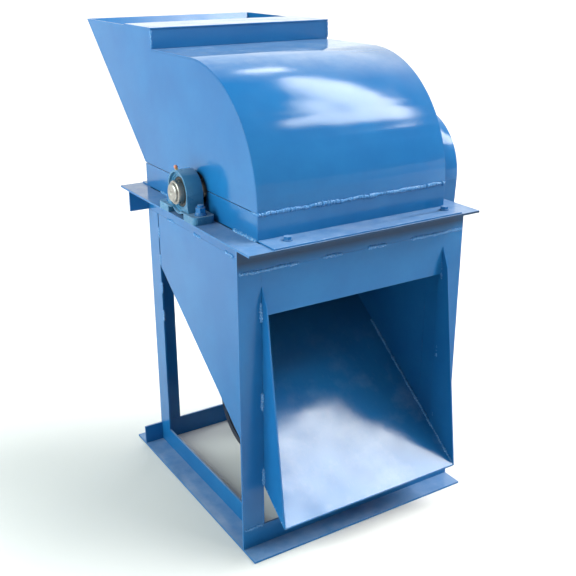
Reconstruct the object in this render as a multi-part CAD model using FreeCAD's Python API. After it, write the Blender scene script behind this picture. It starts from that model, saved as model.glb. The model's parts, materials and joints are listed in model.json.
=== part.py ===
"""Hammer mill: angle-iron stand, sloping discharge chute, swing-hammer rotor and hinged feed hood.

Millimetres. +X runs along the rotor shaft towards the pulleys, -Y is the discharge side, +Z is up.
The origin is on the floor, below the rotor axis, midway between the two bearings.
"""
import FreeCAD, Part
import math
import os

from FreeCAD import Vector

# ---- Stand: equal angle iron, flanges turned outward ------------------------------------------
ANGLE = 65.0                 # leg of the angle section
ANGLE_T = 6.0                # its thickness
HALF_WIDTH = 353.0           # outer flange edge, left and right
HALF_DEPTH = 385.0           # outer flange edge, front and rear
TOP_Z = 850.0                # top face of the upper frame
PLATE = 6.0                  # body plates
SHEET = 4.0                  # hood, hopper and chute sheet

HEEL_X = HALF_WIDTH - ANGLE              # inner face of the side webs
HEEL_Y = HALF_DEPTH - ANGLE              # inner face of the front and rear webs
WEB_X = HEEL_X + ANGLE_T                 # outer face of the side webs
WEB_Y = HEEL_Y + ANGLE_T                 # outer face of the front and rear webs
LEG_BOTTOM = ANGLE
LEG_TOP = TOP_Z - ANGLE

# ---- Discharge chute --------------------------------------------------------------------------
LIP_Y = -428.0               # front lip of the chute floor
LIP_Z = 112.0
CHUTE_SLOPE = 0.754          # rise over run of the chute floor
OPENING_TOP = 666.0          # lower edge of the front panel
CHEEK_TOP = 745.0
CHEEK_KNEE = (-350.0, 690.0)
CHEEK_LAP = 12.0             # overlap of a cheek on the leg's side
REAR_GAP = 6.0               # slot between body side and rear leg, closed by stitch welds

# ---- Rotor ------------------------------------------------------------------------------------
AXIS_Z = TOP_Z + 63.5        # pillow-block centre height above the frame
SHAFT_R = 25.0
SHAFT_MID_R = 40.0
SHAFT_LEFT = -364.0
SHAFT_RIGHT = 434.0
SHAFT_MID_HALF = 258.0
DISC_R = 185.0
DISC_T = 16.0
DISC_X = (-245.0, 0.0, 245.0)
PIN_CIRCLE_R = 150.0
PIN_R = 15.0
PIN_ANGLES = (45.0, 135.0, 225.0, 315.0)
PIN_HEAD_R = 21.0
PIN_HEAD_T = 7.0
HAMMER_REACH = 127.0         # pin axis to hammer tip
HAMMER_BOSS_R = 28.0
HAMMER_CLEARANCE = 0.06      # radial running clearance on the pin
HAMMER_SIDE_GAP = 0.5
HAMMER_HEAD_W = 104.0
HAMMER_HEAD_H = 44.0
HAMMER_HEAD_HALF_T = 22.0
HAMMER_SHANK_W = 70.0
HAMMER_SHANK_HALF_T = 14.0

# ---- Grate under the rotor --------------------------------------------------------------------
GRATE_R = 300.0              # inner radius
GRATE_BAR_W = 10.0
GRATE_BAR_H = 14.0           # radial depth of a bar
GRATE_BARS = 35
GRATE_START = 194.0          # angle of the first bar, degrees
GRATE_SWEEP = 152.0
GRATE_RIB_H = 14.0
GRATE_RIB_W = 12.0
GRATE_RIB_START = 200.0

# ---- Casing and hood --------------------------------------------------------------------------
HOOD_X = 289.5               # half width over the side sheets
HOOD_SHIFT = 4.5             # the casing sits this far towards the pulleys
HOOD_FRONT = -308.0
HOOD_REAR = 346.0
SEAM_Z = AXIS_Z + 4.0
SEAM_GAP = 2.0
DRUM_R = 330.5
DRUM_Y = HOOD_FRONT + DRUM_R
DRUM_TOP = SEAM_Z + DRUM_R
SHAFT_CUTOUT_R = 45.0
HOPPER_FRONT = 258.0
HOPPER_TOP = 1300.0
HOPPER_REAR = 752.0
COVER_REAR = 440.0
COVER_OVERHANG = 2.0
FOOT_EDGE = -381.0
REAR_FOOT_EDGE = 381.0
HOOD_BOLT_X = (-222.0, 268.0)
HOOD_BOLT_Y = -340.0
HINGE_Y = 360.0
HINGE_Z = 905.0
HINGE_R = 11.0
HINGE_PIN_R = 6.0
HINGE_CLEARANCE = 0.06
HINGE_X = (-190.0, 190.0)
KNUCKLE = 34.0
KNUCKLE_GAP = 1.0

# ---- Bearings ---------------------------------------------------------------------------------
BEARING_X = 324.0            # centre of each pillow block
BLOCK_BASE_HALF = 30.0
BLOCK_HALF_LENGTH = 109.5
BLOCK_FOOT_H = 20.0
BLOCK_RING_R = 57.5
BLOCK_RING_HALF = 23.0
BLOCK_ARCH_HALF = 46.0       # open arch under the ring, between the two feet
BLOCK_ARCH_H = 18.0
BLOCK_MOUTH_R = 52.5
BLOCK_MOUTH_HALF = 16.5
INSERT_R = 45.0              # outer ring of the bearing insert
INSERT_HALF = 14.5
BLOCK_SEAL_R = 40.0
BLOCK_SEAL_HALF = 12.5
RING_R = 31.2
RING_CLEARANCE = 0.06
RING_OUT = 33.4
RING_IN = 22.2
BLOCK_BOLT_Y = 85.5
BOLT_M16_R = 8.0
HOLE_M16_R = 9.0

# ---- Belt drive -------------------------------------------------------------------------------
GUARD_BACK_X = 360.0
GUARD_SHEET = 3.0
GUARD_FRONT_X = 443.0
GUARD_TOP_R = 172.0          # round top, a little in front of the shaft and below it
GUARD_TOP_Y = -21.0
GUARD_TOP_Z = 895.0
GUARD_LOW_R = 184.0
GUARD_BRACKET_Y = (-150.0, 135.0)
PULLEY_X = 401.0
PULLEY_HALF_WIDTH = 31.5
GROOVE_PITCH = 19.0
ROTOR_PITCH_R = 100.0
MOTOR_PITCH_R = 150.0
BELT_WIDTH = 12.0
BELT_ABOVE = 3.5
BELT_BELOW = 8.0
GROOVE_TOP_HALF = 7.5
GROOVE_BOTTOM_HALF = 6.4

# ---- Motor ------------------------------------------------------------------------------------
MOTOR_Y = 28.0
MOTOR_RAIL_H = 54.0
MOTOR_Z = MOTOR_RAIL_H + 160.0
MOTOR_SHAFT_R = 21.0
MOTOR_SHAFT_CLEARANCE = 0.08
MOTOR_FOOT_X = (0.0, 210.0)
MOTOR_FOOT_HALF = 127.0
MOTOR_SHOULDER = 318.0
MOTOR_SHAFT_END = 430.0
MOTOR_CORE_R = 138.0
MOTOR_FIN_R = 155.0
MOTOR_FIN_COUNT = 36
COWL_R = 162.0
COWL_BEAD = 3.0               # height of the pressed beads round the cowl
COWL_END = -152.0
COWL_OPEN = -52.0
COWL_T = 3.0
CHANNEL_HALF = 20.0
CHANNEL_T = 6.0

OUT = "parts"


# ---- Helpers ----------------------------------------------------------------------------------
def box(x0, x1, y0, y1, z0, z1):
    return Part.makeBox(x1 - x0, y1 - y0, z1 - z0, Vector(x0, y0, z0))


def rod_x(radius, x0, x1, y=0.0, z=AXIS_Z):
    return Part.makeCylinder(radius, x1 - x0, Vector(x0, y, z), Vector(1, 0, 0))


def rod_z(radius, x, y, z0, z1):
    return Part.makeCylinder(radius, z1 - z0, Vector(x, y, z0), Vector(0, 0, 1))


def closed_face(points):
    return Part.Face(Part.makePolygon(points + points[:1]))


def plate_yz(outline, x0, x1):
    """Extrude a (y, z) outline along X."""
    return closed_face([Vector(x0, y, z) for y, z in outline]).extrude(Vector(x1 - x0, 0, 0))


def plate_xz(outline, y0, y1):
    """Extrude an (x, z) outline along Y."""
    return closed_face([Vector(x, y0, z) for x, z in outline]).extrude(Vector(0, y1 - y0, 0))


def turned(profile, y=0.0, z=AXIS_Z):
    """Revolve an (x, radius) outline about the X-parallel axis through y, z."""
    face = closed_face([Vector(x, y, z + r) for x, r in profile])
    return face.revolve(Vector(0, y, z), Vector(1, 0, 0), 360)


def angle_section(heel_u, heel_v, side_u, side_v):
    """Corner points of an angle section: heel, then round it. side_* is +1 or -1."""
    u1, v1 = heel_u + side_u * ANGLE, heel_v + side_v * ANGLE
    u2, v2 = heel_u + side_u * ANGLE_T, heel_v + side_v * ANGLE_T
    return [(heel_u, heel_v), (u1, heel_v), (u1, v2), (u2, v2), (u2, v1), (heel_u, v1)]


def hexagon_z(across_flats, x, y, z0, z1):
    corner = across_flats / math.sqrt(3)
    points = [Vector(x + corner * math.cos(math.radians(60 * i)),
                     y + corner * math.sin(math.radians(60 * i)), z0) for i in range(6)]
    return closed_face(points).extrude(Vector(0, 0, z1 - z0))


def two_circle_outline(x, y1, z1, r1, y2, z2, r2):
    """Wire round two circles joined by their outer tangents, in the plane at x."""
    spread = math.acos((r1 - r2) / math.hypot(y2 - y1, z2 - z1))
    line = math.atan2(z2 - z1, y2 - y1)

    def on(y, z, r, angle):
        return Vector(x, y + r * math.cos(angle), z + r * math.sin(angle))

    a1, a2 = on(y1, z1, r1, line + spread), on(y1, z1, r1, line - spread)
    b1, b2 = on(y2, z2, r2, line + spread), on(y2, z2, r2, line - spread)
    edges = [Part.Arc(a1, on(y1, z1, r1, line + math.pi), a2).toShape(),
             Part.LineSegment(a2, b2).toShape(),
             Part.Arc(b2, on(y2, z2, r2, line), b1).toShape(),
             Part.LineSegment(b1, a1).toShape()]
    return Part.Wire(edges)


def mirrored_x(shape):
    return shape.mirror(Vector(0, 0, 0), Vector(1, 0, 0))


def mirrored_y(shape):
    return shape.mirror(Vector(0, 0, 0), Vector(0, 1, 0))


def fused(first, *others):
    return first.multiFuse(list(others)).removeSplitter()


def shifted(shape):
    """A casing or hood part moved from the middle of the stand to its place."""
    return shape.translated(Vector(HOOD_SHIFT, 0, 0))


def save(node, shape):
    os.makedirs(OUT, exist_ok=True)
    if not shape.isValid():
        raise ValueError(node + " is not a valid shape")
    shape.exportStep(os.path.join(OUT, node + ".step"))


def chute_z(y):
    """Height of the chute floor's upper face."""
    return LIP_Z + CHUTE_SLOPE * (y - LIP_Y)


FLOOR_DROP = SHEET * math.hypot(1, CHUTE_SLOPE)     # vertical thickness of the sloping sheet


# ---- Stand ------------------------------------------------------------------------------------
def make_rails():
    front_low = plate_yz(angle_section(-HEEL_Y, 0, -1, 1), -HALF_WIDTH, HALF_WIDTH)
    front_top = plate_yz(angle_section(-HEEL_Y, TOP_Z, -1, -1), -HALF_WIDTH, HALF_WIDTH)
    left_low = plate_xz(angle_section(-HEEL_X, 0, -1, 1), -HEEL_Y, HEEL_Y)
    left_top = plate_xz(angle_section(-HEEL_X, TOP_Z, -1, -1), -HEEL_Y, HEEL_Y)
    for side in (-1, 1):
        hole = rod_z(HOLE_M16_R, -BEARING_X, side * BLOCK_BOLT_Y, TOP_Z - ANGLE_T - 1, TOP_Z + 1)
        left_top = left_top.cut(hole)
    rear_top = mirrored_y(front_top)
    for x in HOOD_BOLT_X:
        slot = fused(box(x - 7, x + 7, HOOD_BOLT_Y - 6, HOOD_BOLT_Y + 6, TOP_Z - 10, TOP_Z + 1),
                     rod_z(7, x, HOOD_BOLT_Y - 6, TOP_Z - 10, TOP_Z + 1),
                     rod_z(7, x, HOOD_BOLT_Y + 6, TOP_Z - 10, TOP_Z + 1))
        front_top = front_top.cut(slot)
    save("base_front_rail", front_low)
    save("base_rear_rail", mirrored_y(front_low))
    save("base_left_rail", left_low)
    save("base_right_rail", mirrored_x(left_low))
    save("top_front_rail", front_top)
    save("top_rear_rail", rear_top)
    save("top_left_rail", left_top)
    save("top_right_rail", mirrored_x(left_top))


def make_legs():
    def leg(heel_x, heel_y, side_x, side_y):
        section = [Vector(x, y, LEG_BOTTOM) for x, y in angle_section(heel_x, heel_y, side_x, side_y)]
        return closed_face(section).extrude(Vector(0, 0, LEG_TOP - LEG_BOTTOM))

    # A front leg turns one flange outward along the front and the other back along the side.
    front_left = fused(box(-HALF_WIDTH, -HEEL_X, -WEB_Y, -HEEL_Y, LEG_BOTTOM, LEG_TOP),
                       box(-WEB_X, -HEEL_X, -HEEL_Y, -WEB_Y + ANGLE, LEG_BOTTOM, LEG_TOP))
    rear_left = leg(-WEB_X, WEB_Y, 1, -1)
    save("leg_front_left", front_left)
    save("leg_front_right", mirrored_x(front_left))
    save("leg_rear_left", rear_left)
    save("leg_rear_right", mirrored_x(rear_left))


# ---- Body and chute ---------------------------------------------------------------------------
def make_body():
    front = -WEB_Y + ANGLE
    rear = WEB_Y - ANGLE - REAR_GAP
    outline = [(front, LEG_TOP), (rear, LEG_TOP), (rear, chute_z(rear) - FLOOR_DROP),
               (front, chute_z(front) - FLOOR_DROP)]
    side = plate_yz(outline, -WEB_X, -WEB_X + PLATE)
    save("body_side_left", side)
    save("body_side_right", mirrored_x(side))
    save("body_front_panel", box(-HEEL_X, HEEL_X, -WEB_Y, -WEB_Y + PLATE, OPENING_TOP, LEG_TOP))
    inner = WEB_X - ANGLE
    floor_end = WEB_Y - PLATE
    save("body_rear_panel",
         box(-inner, inner, floor_end, WEB_Y, chute_z(floor_end) - FLOOR_DROP, LEG_TOP))

    back = -WEB_Y + CHEEK_LAP

    def sloping_sheet(y0, y1, half):
        return plate_yz([(y0, chute_z(y0)), (y1, chute_z(y1)), (y1, chute_z(y1) - FLOOR_DROP),
                         (y0, chute_z(y0) - FLOOR_DROP)], -half, half)

    floor = fused(sloping_sheet(LIP_Y, back, HEEL_X - SHEET), sloping_sheet(back, floor_end, HEEL_X))
    leg_notch = box(inner, HEEL_X + 1, WEB_Y - ANGLE_T, WEB_Y, LEG_BOTTOM, LEG_TOP)
    floor = floor.cut(leg_notch).cut(mirrored_x(leg_notch))
    save("chute_floor", floor)

    cheek = plate_yz([(-WEB_Y, CHEEK_TOP), CHEEK_KNEE, (LIP_Y, LIP_Z), (LIP_Y, LIP_Z - FLOOR_DROP),
                      (back, chute_z(back) - FLOOR_DROP), (back, OPENING_TOP),
                      (-WEB_Y, OPENING_TOP)], -HEEL_X, -HEEL_X + SHEET)
    save("chute_cheek_left", cheek)
    save("chute_cheek_right", mirrored_x(cheek))


# ---- Grate ------------------------------------------------------------------------------------
def make_grate():
    """Flat bars along the shaft, standing on arched ribs between the body sides."""
    outer = GRATE_R + GRATE_BAR_H
    bars = []
    for number in range(GRATE_BARS):
        bar = box(-HEEL_X, HEEL_X, GRATE_R, outer, AXIS_Z - GRATE_BAR_W / 2, AXIS_Z + GRATE_BAR_W / 2)
        angle = GRATE_START + number * GRATE_SWEEP / (GRATE_BARS - 1)
        bar.rotate(Vector(0, 0, AXIS_Z), Vector(1, 0, 0), angle)
        bars.append(bar)
    save("grate_bars", Part.Compound(bars))

    def on(radius, angle):
        turn = math.radians(angle)
        return Vector(0, radius * math.cos(turn), AXIS_Z + radius * math.sin(turn))

    first, last = GRATE_RIB_START, 540.0 - GRATE_RIB_START
    foot = outer + GRATE_RIB_H
    edges = [Part.Arc(on(outer, first), on(outer, 270), on(outer, last)).toShape(),
             Part.LineSegment(on(outer, last), on(foot, last)).toShape(),
             Part.Arc(on(foot, last), on(foot, 270), on(foot, first)).toShape(),
             Part.LineSegment(on(foot, first), on(outer, first)).toShape()]
    arch = Part.Face(Part.Wire(edges)).extrude(Vector(GRATE_RIB_W, 0, 0))
    ribs = []
    for x in (-HEEL_X, -GRATE_RIB_W / 2, HEEL_X - GRATE_RIB_W):
        ribs.append(arch.translated(Vector(x, 0, 0)))
    save("grate_ribs", Part.Compound(ribs))


# ---- Lower casing -----------------------------------------------------------------------------
def make_casing():
    strip = box(-HOOD_X, -HOOD_X + SHEET, HOOD_FRONT + SHEET, HOOD_REAR - SHEET, TOP_Z, SEAM_Z)
    strip = strip.cut(rod_x(SHAFT_CUTOUT_R, -HOOD_X - 1, -HOOD_X + SHEET + 1))
    save("casing_strip_left", shifted(strip))
    save("casing_strip_right", shifted(mirrored_x(strip)))

    wall = box(-HOOD_X, HOOD_X, HOOD_REAR - SHEET, HOOD_REAR, TOP_Z, SEAM_Z)
    foot = box(-HOOD_X, HOOD_X, HOOD_REAR, REAR_FOOT_EDGE, TOP_Z, TOP_Z + SHEET)
    pieces = [foot]
    for x in HINGE_X:
        for side in (-1, 1):
            centre = x + side * (KNUCKLE + KNUCKLE_GAP)
            x0, x1 = centre - KNUCKLE / 2, centre + KNUCKLE / 2
            pieces.append(rod_x(HINGE_R, x0, x1, HINGE_Y, HINGE_Z))
            pieces.append(box(x0, x1, HOOD_REAR, HINGE_Y, HINGE_Z - HINGE_R, HINGE_Z))
    strip = fused(wall, *pieces)
    for x in HINGE_X:
        strip = strip.cut(rod_x(HINGE_PIN_R, x - 2 * KNUCKLE, x + 2 * KNUCKLE, HINGE_Y, HINGE_Z))
    save("casing_strip_rear", shifted(strip))

    half = 1.5 * KNUCKLE + KNUCKLE_GAP
    head = HINGE_PIN_R + 3
    pins = [fused(rod_x(HINGE_PIN_R, x - half - 6, x + half, HINGE_Y, HINGE_Z),
                  rod_x(head, x + half, x + half + 4, HINGE_Y, HINGE_Z)) for x in HINGE_X]
    save("hinge_pins", shifted(Part.Compound(pins)))


# ---- Hood and hopper --------------------------------------------------------------------------
def make_hood():
    rise, run = HOPPER_TOP - SEAM_Z, HOPPER_REAR - HOOD_REAR
    length = math.hypot(rise, run)
    inset_y, inset_z = SHEET * rise / length, SHEET * run / length

    def rear_line(z, inset):
        """y of the sloping rear wall at height z: outer face, or inner face when inset is 1."""
        base_y, base_z = HOOD_REAR - inset * inset_y, SEAM_Z + inset * inset_z
        return base_y + (z - base_z) * run / rise

    bottom = SEAM_Z + SEAM_GAP
    inner_r = DRUM_R - SHEET
    crown = SEAM_Z + inner_r
    start_angle = math.asin(SEAM_GAP / inner_r)

    def drum(radius, angle):
        return Vector(0, DRUM_Y - radius * math.cos(angle), SEAM_Z + radius * math.sin(angle))

    corner = [Vector(0, DRUM_Y, crown), Vector(0, HOPPER_FRONT + SHEET, crown),
              Vector(0, HOPPER_FRONT + SHEET, HOPPER_TOP), Vector(0, rear_line(HOPPER_TOP, 1), HOPPER_TOP),
              Vector(0, rear_line(bottom, 1), bottom), drum(inner_r, start_angle)]
    edges = [Part.LineSegment(a, b).toShape() for a, b in zip(corner, corner[1:])]
    edges.append(Part.Arc(corner[-1], drum(inner_r, math.pi / 4), corner[0]).toShape())
    side = Part.Face(Part.Wire(edges)).extrude(Vector(SHEET, 0, 0))
    side.translate(Vector(-HOOD_X, 0, 0))
    side = side.cut(rod_x(SHAFT_CUTOUT_R, -HOOD_X - 1, -HOOD_X + SHEET + 1))
    save("hood_side_left", shifted(side))
    save("hood_side_right", shifted(mirrored_x(side)))

    arc_out = Part.Arc(drum(DRUM_R, 0), drum(DRUM_R, math.pi / 4), drum(DRUM_R, math.pi / 2))
    arc_in = Part.Arc(drum(inner_r, math.pi / 2), drum(inner_r, math.pi / 4), drum(inner_r, 0))
    flat_end = HOPPER_FRONT + SHEET
    rim = [drum(DRUM_R, math.pi / 2), Vector(0, flat_end, DRUM_TOP), Vector(0, flat_end, crown),
           drum(inner_r, math.pi / 2)]
    edges = [arc_out.toShape()]
    edges += [Part.LineSegment(a, b).toShape() for a, b in zip(rim, rim[1:])]
    edges += [arc_in.toShape(), Part.LineSegment(drum(inner_r, 0), drum(DRUM_R, 0)).toShape()]
    wrap = Part.Face(Part.Wire(edges)).extrude(Vector(2 * HOOD_X, 0, 0))
    wrap.translate(Vector(-HOOD_X, 0, 0))
    save("hood_wrap", shifted(wrap))

    wall = box(-HOOD_X, HOOD_X, HOOD_FRONT, HOOD_FRONT + SHEET, TOP_Z, SEAM_Z)
    foot = box(-HOOD_X, HOOD_X, FOOT_EDGE, HOOD_FRONT, TOP_Z, TOP_Z + SHEET)
    front = shifted(fused(wall, foot))
    for x in HOOD_BOLT_X:
        front = front.cut(rod_z(6, x, HOOD_BOLT_Y, TOP_Z - 1, TOP_Z + SHEET + 1))
    save("hood_front_foot", front)

    upright = box(-HOOD_X, HOOD_X, HOPPER_FRONT, HOPPER_FRONT + SHEET, DRUM_TOP, HOPPER_TOP)
    cover = box(-HOOD_X - COVER_OVERHANG, HOOD_X + COVER_OVERHANG, HOPPER_FRONT - COVER_OVERHANG,
                COVER_REAR, HOPPER_TOP, HOPPER_TOP + SHEET)
    save("hopper_front_wall", shifted(fused(upright, cover)))

    rear = plate_yz([(rear_line(bottom, 0), bottom), (rear_line(HOPPER_TOP, 0), HOPPER_TOP),
                     (rear_line(HOPPER_TOP, 1), HOPPER_TOP), (rear_line(bottom, 1), bottom)],
                    -HOOD_X, HOOD_X)
    pieces = []
    for x in HINGE_X:
        x0, x1 = x - KNUCKLE / 2, x + KNUCKLE / 2
        pieces.append(rod_x(HINGE_R, x0, x1, HINGE_Y, HINGE_Z))
        reach = HINGE_Z + 30
        pieces.append(plate_yz([(HINGE_Y + HINGE_R - 4, HINGE_Z), (HINGE_Y + HINGE_R, HINGE_Z),
                                (rear_line(reach + 6, 0), reach + 6), (rear_line(reach, 0), reach)],
                               x0, x1))
    rear = fused(rear, *pieces)
    for x in HINGE_X:
        bore = HINGE_PIN_R + HINGE_CLEARANCE
        rear = rear.cut(rod_x(bore, x - KNUCKLE, x + KNUCKLE, HINGE_Y, HINGE_Z))
    save("hopper_rear_wall", shifted(rear))

    bolts = []
    for x in HOOD_BOLT_X:
        top = TOP_Z + SHEET
        bolts.append(fused(rod_z(12, x, HOOD_BOLT_Y, top, top + 2.5),
                           hexagon_z(18, x, HOOD_BOLT_Y, top + 2.5, top + 10),
                           rod_z(6, x, HOOD_BOLT_Y, TOP_Z - 14, top)))
    save("hood_bolts", Part.Compound(bolts))


# ---- Bearings ---------------------------------------------------------------------------------
def pillow_block():
    """Left-hand pillow block with the insert's outer ring and seals in place."""
    x = -BEARING_X
    foot_z = TOP_Z + BLOCK_FOOT_H
    half = BLOCK_HALF_LENGTH
    corner = 12.0
    base = box(x - BLOCK_BASE_HALF, x + BLOCK_BASE_HALF, -half, half, TOP_Z, foot_z)
    upright = [e for e in base.Edges if abs(e.BoundBox.ZLength - BLOCK_FOOT_H) < 0.01]
    base = base.makeFillet(corner, upright)
    shoulder = BLOCK_RING_R + 8
    pedestal = plate_yz([(-shoulder, foot_z - 4), (shoulder, foot_z - 4), (BLOCK_RING_R, foot_z + 16),
                         (BLOCK_RING_R, AXIS_Z), (-BLOCK_RING_R, AXIS_Z), (-BLOCK_RING_R, foot_z + 16)],
                        x - BLOCK_RING_HALF, x + BLOCK_RING_HALF)
    arch = box(x - 40, x + 40, -BLOCK_ARCH_HALF, BLOCK_ARCH_HALF, TOP_Z - 1, TOP_Z + BLOCK_ARCH_H)
    ring = rod_x(BLOCK_RING_R, x - BLOCK_RING_HALF, x + BLOCK_RING_HALF)
    block = fused(fused(base, pedestal).cut(arch), ring)
    for radius, half_depth in ((BLOCK_MOUTH_R, BLOCK_MOUTH_HALF), (INSERT_R, INSERT_HALF),
                               (BLOCK_SEAL_R, BLOCK_SEAL_HALF)):
        block = block.cut(rod_x(radius, x - 40, x - half_depth))
        block = block.cut(rod_x(radius, x + half_depth, x + 40))
    block = block.cut(rod_x(RING_R + RING_CLEARANCE, x - 40, x + 40))
    for y in (-BLOCK_BOLT_Y, BLOCK_BOLT_Y):
        block = block.cut(rod_z(HOLE_M16_R, x, y, TOP_Z - 1, foot_z + 1))
    return block


def make_bearings():
    block = pillow_block()
    save("bearing_housing_left", block)
    save("bearing_housing_right", mirrored_x(block))

    x = -BEARING_X
    chamfer = 2.0
    ring = turned([(x - RING_OUT, SHAFT_R), (x - RING_OUT, RING_R - chamfer),
                   (x - RING_OUT + chamfer, RING_R), (x + RING_IN - chamfer, RING_R),
                   (x + RING_IN, RING_R - chamfer), (x + RING_IN, SHAFT_R)])
    screw_x = x - RING_OUT + 9
    for tilt in (75.0, -45.0):
        direction = Vector(0, -math.cos(math.radians(tilt)), math.sin(math.radians(tilt)))
        start = Vector(screw_x, 0, AXIS_Z) + direction * (SHAFT_R + 2)
        ring = ring.cut(Part.makeCylinder(3.5, 20, start, direction))
    save("bearing_inner_rings", Part.Compound([ring, mirrored_x(ring)]))

    bolts = []
    foot_z = TOP_Z + BLOCK_FOOT_H
    under = TOP_Z - ANGLE_T
    for x in (-BEARING_X, BEARING_X):
        for y in (-BLOCK_BOLT_Y, BLOCK_BOLT_Y):
            bolts.append(fused(hexagon_z(24, x, y, under - 10, under),
                               rod_z(BOLT_M16_R, x, y, under, foot_z + 26),
                               rod_z(16, x, y, foot_z, foot_z + 3),
                               rod_z(14, x, y, foot_z + 3, foot_z + 7),
                               hexagon_z(24, x, y, foot_z + 7, foot_z + 20)))
    save("bearing_bolts", Part.Compound(bolts))


# ---- Rotor ------------------------------------------------------------------------------------
def make_rotor():
    mid = SHAFT_MID_HALF
    chamfer = 3.0
    shaft = turned([(SHAFT_LEFT, 0), (SHAFT_LEFT, SHAFT_R - chamfer), (SHAFT_LEFT + chamfer, SHAFT_R),
                    (-mid, SHAFT_R), (-mid, SHAFT_MID_R - chamfer), (-mid + chamfer, SHAFT_MID_R),
                    (mid - chamfer, SHAFT_MID_R), (mid, SHAFT_MID_R - chamfer), (mid, SHAFT_R),
                    (SHAFT_RIGHT - chamfer, SHAFT_R), (SHAFT_RIGHT, SHAFT_R - chamfer),
                    (SHAFT_RIGHT, 0)])
    centre_drill = Part.makeCone(6, 0.5, 7, Vector(SHAFT_LEFT, 0, AXIS_Z), Vector(1, 0, 0))
    save("rotor_shaft", shaft.cut(centre_drill))

    pin_places = [(PIN_CIRCLE_R * math.cos(math.radians(a)),
                   AXIS_Z + PIN_CIRCLE_R * math.sin(math.radians(a))) for a in PIN_ANGLES]
    for number, x in enumerate(DISC_X, 1):
        disc = rod_x(DISC_R, x - DISC_T / 2, x + DISC_T / 2)
        disc = disc.cut(rod_x(SHAFT_MID_R, x - DISC_T, x + DISC_T))
        for y, z in pin_places:
            disc = disc.cut(rod_x(PIN_R, x - DISC_T, x + DISC_T, y, z))
        save("rotor_disc_%d" % number, disc)

    end = DISC_X[-1] + DISC_T / 2
    pins = []
    for y, z in pin_places:
        pins.append(fused(rod_x(PIN_R, -end, end, y, z),
                          rod_x(PIN_HEAD_R, -end - PIN_HEAD_T, -end, y, z),
                          rod_x(PIN_HEAD_R, end, end + PIN_HEAD_T, y, z)))
    save("hammer_pins", Part.Compound(pins))

    gap = DISC_X[2] - DISC_X[1] - DISC_T
    for side_name, centre in (("left", DISC_X[0] / 2), ("right", DISC_X[2] / 2)):
        for number, (y, z) in enumerate(pin_places, 1):
            stagger = gap / 4 if number % 2 else -gap / 4
            save("hammer_%s_%d" % (side_name, number), hammer(centre, centre + stagger, gap, y, z))


def hammer(boss_x, head_x, gap, y, z):
    """One swing hammer, hanging straight down from its pin at y, z."""
    half = gap / 2 - HAMMER_SIDE_GAP
    boss = rod_x(HAMMER_BOSS_R, boss_x - half, boss_x + half, y, z)
    shank = box(head_x - HAMMER_SHANK_W / 2, head_x + HAMMER_SHANK_W / 2,
                y - HAMMER_SHANK_HALF_T, y + HAMMER_SHANK_HALF_T,
                z - HAMMER_REACH + HAMMER_HEAD_H, z)
    head = box(head_x - HAMMER_HEAD_W / 2, head_x + HAMMER_HEAD_W / 2,
               y - HAMMER_HEAD_HALF_T, y + HAMMER_HEAD_HALF_T,
               z - HAMMER_REACH, z - HAMMER_REACH + HAMMER_HEAD_H)
    body = fused(boss, shank, head)
    return body.cut(rod_x(PIN_R + HAMMER_CLEARANCE, boss_x - gap, boss_x + gap, y, z))


# ---- Belt drive -------------------------------------------------------------------------------
def pulley(pitch_r, bore_r, hub_r, y, z):
    """Three-groove V-belt pulley."""
    left, right = PULLEY_X - PULLEY_HALF_WIDTH, PULLEY_X + PULLEY_HALF_WIDTH
    outer, root = pitch_r + 4.0, pitch_r - BELT_BELOW - 1.0
    profile = [(left, bore_r), (left, outer)]
    for step in (-1, 0, 1):
        centre = PULLEY_X + step * GROOVE_PITCH
        profile += [(centre - GROOVE_TOP_HALF, outer), (centre - GROOVE_BOTTOM_HALF, root),
                    (centre + GROOVE_BOTTOM_HALF, root), (centre + GROOVE_TOP_HALF, outer)]
    profile += [(right, outer), (right, bore_r)]
    wheel = turned(profile, y, z)
    rim_inner = root - 14.0
    if rim_inner - hub_r > 20:
        for x0, x1 in ((left - 1, PULLEY_X - 9), (PULLEY_X + 9, right + 1)):
            recess = rod_x(rim_inner, x0, x1, y, z).cut(rod_x(hub_r, x0 - 1, x1 + 1, y, z))
            wheel = wheel.cut(recess)
    return wheel


def belt(x):
    rotor_side = (x, 0.0, AXIS_Z)
    rims = []
    for offset in (BELT_ABOVE, -BELT_BELOW):
        rims.append(Part.Face(two_circle_outline(*rotor_side, ROTOR_PITCH_R + offset, MOTOR_Y,
                                                 MOTOR_Z, MOTOR_PITCH_R + offset)))
    band = rims[0].cut(rims[1]).extrude(Vector(BELT_WIDTH, 0, 0))
    band.translate(Vector(-BELT_WIDTH / 2, 0, 0))
    return band


def guard_face(x, inset):
    return Part.Face(two_circle_outline(x, GUARD_TOP_Y, GUARD_TOP_Z, GUARD_TOP_R - inset,
                                        MOTOR_Y, MOTOR_Z, GUARD_LOW_R - inset))


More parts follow.
